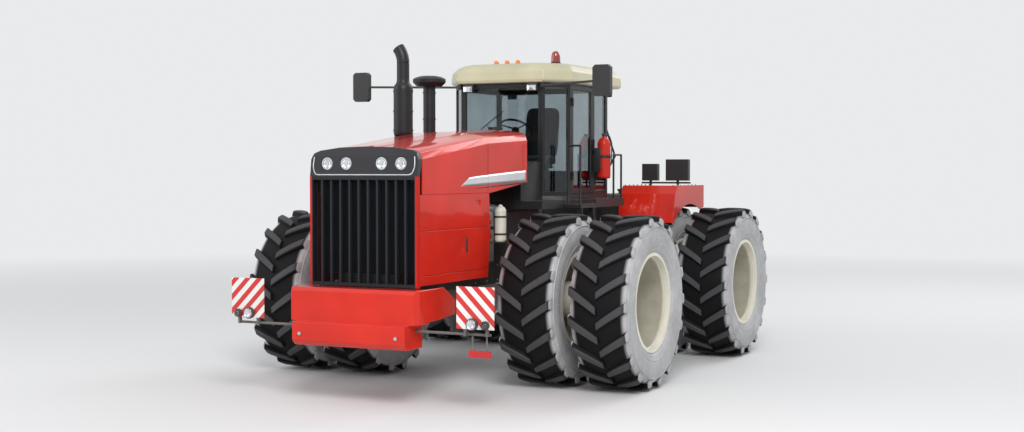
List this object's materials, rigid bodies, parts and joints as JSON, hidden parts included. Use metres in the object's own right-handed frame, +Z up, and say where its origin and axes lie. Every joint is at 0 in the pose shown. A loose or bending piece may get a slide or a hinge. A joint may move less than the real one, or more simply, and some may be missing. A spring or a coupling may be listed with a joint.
{
  "type": "articulated farm tractor",
  "caption": "Large articulated four-wheel-drive farm tractor on dual wheels, hinged in the middle, with a glazed cab, open engine sides and a swinging drawbar.",
  "frame": {"origin": "on the ground, under the middle of the whole tractor", "axes": "+Z up, +X to the tractor's left, the nose towards -Y"},
  "size_m": [4.86, 7.08, 3.96],
  "materials": {
    "red_paint": "glossy red enamel, dusty low down",
    "black_paint": "satin black paint",
    "cream_paint": "semi-gloss cream wheel enamel with dust",
    "roof_paint": "semi-gloss cream roof",
    "board_paint": "reflective red and white stripes",
    "black_plastic": "textured black moulding",
    "tyre_rubber": "black tyre rubber, dusty sidewalls",
    "clear_glass": "clear safety glass with a grey-green tint",
    "lamp_lens": "clear lamp lens over a bright reflector",
    "red_lens": "red reflector",
    "amber_lens": "orange lens",
    "beacon_lens": "dark red lens",
    "cast_grey": "painted castings",
    "bright_steel": "ground and plated steel",
    "seat_cloth": "dark woven seat cloth",
    "engine_paint": "grey engine paint",
    "core_grey": "dusty cooling fins"
  },
  "bodies": {
    "front": {"front_frame": "black_paint", "front_axle": "cast_grey", "bumper": "red_paint", "warning_bar": "cast_grey", "warning_boards": "board_paint", "board_lamps": "lamp_lens", "low_reflector": "red_lens", "engine": "engine_paint", "radiator": "core_grey", "grille": "black_plastic", "lamp_panel": "black_plastic", "headlamps": "lamp_lens", "hood": "red_paint", "side_panels": "red_paint", "exhaust_stack": "black_paint", "air_intake": "black_paint", "cab_base": "black_paint", "cab_frame": "black_paint", "cab_glass": "clear_glass", "cab_roof": "roof_paint", "seat": "seat_cloth", "console": "black_plastic", "mirrors": "black_plastic", "roof_lamps": "black_plastic", "roof_markers": "amber_lens", "beacon": "beacon_lens", "extinguisher": "red_paint", "cab_steps": "black_paint", "handrails": "black_paint"},
    "yoke": {"pivot_yoke": "cast_grey"},
    "rear": {"rear_frame": "black_paint", "rear_axle": "cast_grey", "fuel_tank": "black_plastic", "rear_fenders": "red_paint", "rear_lamps": "black_plastic", "couplers": "bright_steel"},
    "drawbar": {"drawbar": "cast_grey"},
    "door": {"cab_door": "black_paint", "door_glass": "clear_glass"},
    "steering_wheel": {"steering_wheel": "black_plastic"},
    "ram_barrel_left": {"ram_barrel_left": "black_paint"},
    "ram_barrel_right": {"ram_barrel_right": "black_paint"},
    "ram_rod_left": {"ram_rod_left": "bright_steel"},
    "ram_rod_right": {"ram_rod_right": "bright_steel"},
    "wheel_front_left": {"wheel_fl_rims": "cream_paint", "wheel_fl_tyres": "tyre_rubber"},
    "wheel_front_right": {"wheel_fr_rims": "cream_paint", "wheel_fr_tyres": "tyre_rubber"},
    "wheel_rear_left": {"wheel_rl_rims": "cream_paint", "wheel_rl_tyres": "tyre_rubber"},
    "wheel_rear_right": {"wheel_rr_rims": "cream_paint", "wheel_rr_tyres": "tyre_rubber"}
  },
  "joints": [
    {"name": "articulation", "type": "hinge", "parent": "front", "child": "yoke", "pos_m": [0, 0.725, 1.04], "axis": [0, 0, 1], "range_deg": [-32, 32]},
    {"name": "oscillation", "type": "hinge", "parent": "yoke", "child": "rear", "pos_m": [0, 1.125, 1.04], "axis": [0, 1, 0], "range_deg": [-10, 10]},
    {"name": "wheel_fl", "type": "hinge", "parent": "front", "child": "wheel_front_left", "pos_m": [1.215, -0.99, 0.975], "axis": [-1, 0, 0], "continuous": true},
    {"name": "wheel_fr", "type": "hinge", "parent": "front", "child": "wheel_front_right", "pos_m": [-1.215, -0.99, 0.975], "axis": [-1, 0, 0], "continuous": true},
    {"name": "wheel_rl", "type": "hinge", "parent": "rear", "child": "wheel_rear_left", "pos_m": [1.215, 2.44, 0.975], "axis": [-1, 0, 0], "continuous": true},
    {"name": "wheel_rr", "type": "hinge", "parent": "rear", "child": "wheel_rear_right", "pos_m": [-1.215, 2.44, 0.975], "axis": [-1, 0, 0], "continuous": true},
    {"name": "cab_door", "type": "hinge", "parent": "front", "child": "door", "pos_m": [0.816, 0.351, 2.8], "axis": [0, 0, -1], "range_deg": [0, 80]},
    {"name": "steering", "type": "hinge", "parent": "front", "child": "steering_wheel", "pos_m": [0, 0.27, 2.75], "axis": [0, 0.5736, 0.8192], "continuous": true},
    {"name": "drawbar_swing", "type": "hinge", "parent": "rear", "child": "drawbar", "pos_m": [0, 2.77, 0.499], "axis": [0, 0, 1], "range_deg": [-12, 12]},
    {"name": "ram_swing_left", "type": "hinge", "parent": "front", "child": "ram_barrel_left", "pos_m": [0.34, 0.085, 1.04], "axis": [0, 0, 1], "range_deg": [-12, 12]},
    {"name": "ram_slide_left", "type": "slide", "parent": "ram_barrel_left", "child": "ram_rod_left", "axis": [0, 1, 0], "range_m": [-0.22, 0.22]},
    {"name": "ram_swing_right", "type": "hinge", "parent": "front", "child": "ram_barrel_right", "pos_m": [-0.34, 0.085, 1.04], "axis": [0, 0, 1], "range_deg": [-12, 12]},
    {"name": "ram_slide_right", "type": "slide", "parent": "ram_barrel_right", "child": "ram_rod_right", "axis": [0, 1, 0], "range_m": [-0.22, 0.22]}
  ],
  "couplings": [
    {"joint": "ram_swing_left", "follows": "articulation", "ratio": 0.19658},
    {"joint": "ram_slide_left", "follows": "articulation", "m_per_rad": 0.33447},
    {"joint": "ram_swing_right", "follows": "articulation", "ratio": 0.19658},
    {"joint": "ram_slide_right", "follows": "articulation", "m_per_rad": -0.33447}
  ]
}
